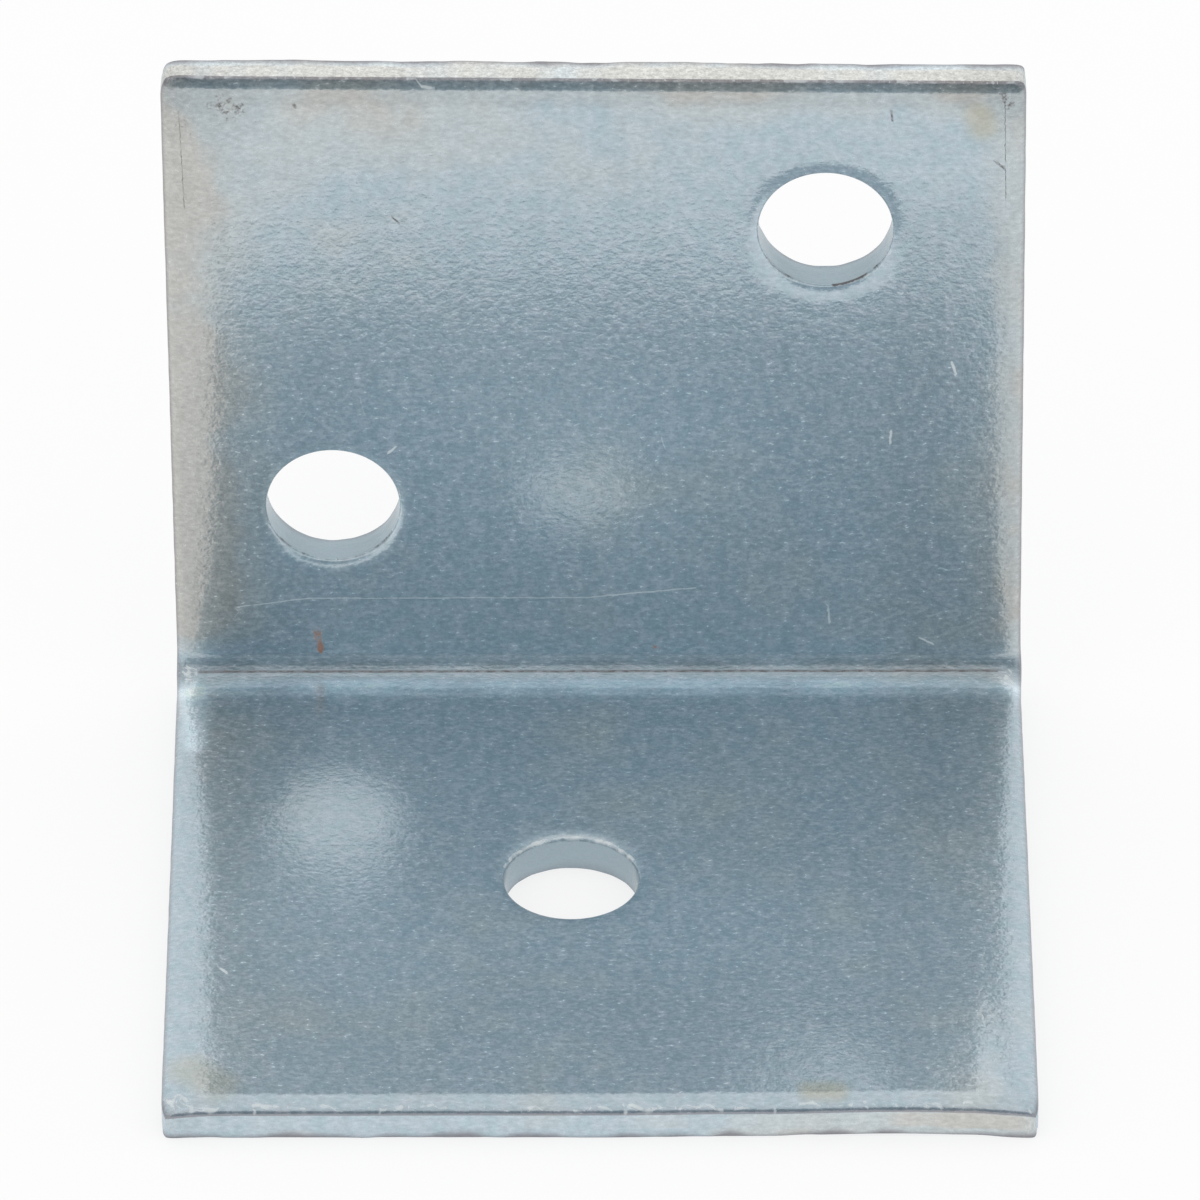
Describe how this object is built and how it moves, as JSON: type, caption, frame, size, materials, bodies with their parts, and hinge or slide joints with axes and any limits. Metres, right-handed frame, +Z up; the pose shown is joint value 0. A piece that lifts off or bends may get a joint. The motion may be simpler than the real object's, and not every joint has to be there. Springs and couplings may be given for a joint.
{
  "type": "angle bracket",
  "caption": "Right-angle bracket folded from one punched strip of zinc-plated steel sheet, with bolt holes in both legs.",
  "frame": {"origin": "middle of the footprint, on the underside of the lower leg", "axes": "+X to the right along the fold, +Y to the back, through the upright leg, +Z up"},
  "size_m": [0.057, 0.0508, 0.0502],
  "materials": {
    "zinc_plated_steel": "bright zinc electroplate, satin, with a clear bluish passivation"
  },
  "bodies": {
    "root": {"angle_plate": "zinc_plated_steel"}
  },
  "joints": []
}
